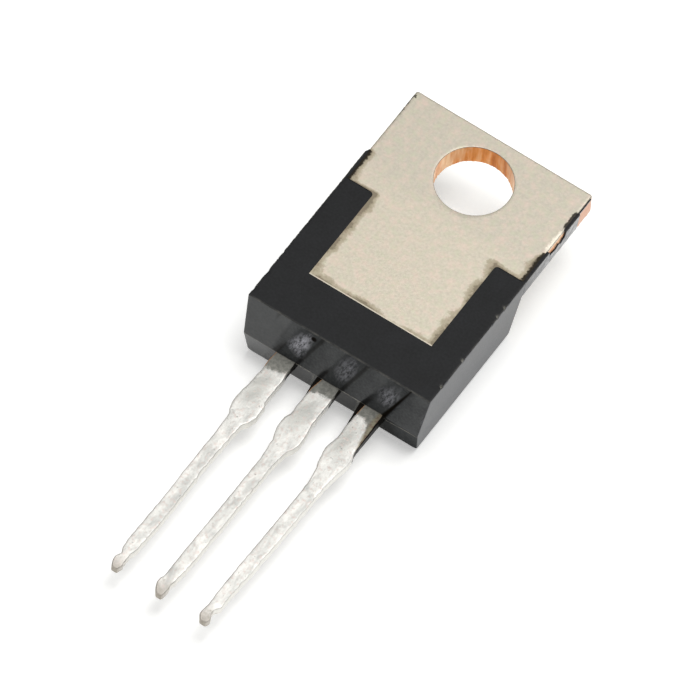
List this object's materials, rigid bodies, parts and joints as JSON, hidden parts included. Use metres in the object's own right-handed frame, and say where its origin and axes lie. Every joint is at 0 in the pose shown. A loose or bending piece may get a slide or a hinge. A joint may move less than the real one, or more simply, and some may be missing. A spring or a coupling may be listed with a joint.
{
  "type": "voltage regulator",
  "caption": "Voltage regulator in a moulded power package with a bare screw tab at the back and three straight leads for a circuit board.",
  "frame": {"origin": "centre of the screw hole, on the tab's back face", "axes": "+Z out of the tab's back face, along the screw hole; +Y towards the tab's free end, so the leads run towards -Y; +X to the right when the back face is looked at with the leads down"},
  "size_m": [0.0104, 0.0293, 0.0045],
  "materials": {
    "epoxy_resin": "black epoxy moulding compound, dull on the back face and satin on the drafted end face",
    "plated_copper": "matte nickel plate on copper; bare copper in the punched hole; solder-dipped centre lead",
    "soldered_lead": "hot-dipped solder over copper, wavy and mottled, with a bare grey root at the body",
    "die_solder": "dull soft solder",
    "silicon": "dark polished silicon",
    "bond_wire": "drawn aluminium wire with pressed feet"
  },
  "bodies": {
    "root": {"moulded_body": "epoxy_resin", "tab_with_centre_lead": "plated_copper", "input_lead": "soldered_lead", "output_lead": "soldered_lead", "chip_solder": "die_solder", "chip": "silicon", "input_wire": "bond_wire", "output_wire_1": "bond_wire", "output_wire_2": "bond_wire", "ground_wire": "bond_wire"}
  },
  "joints": []
}
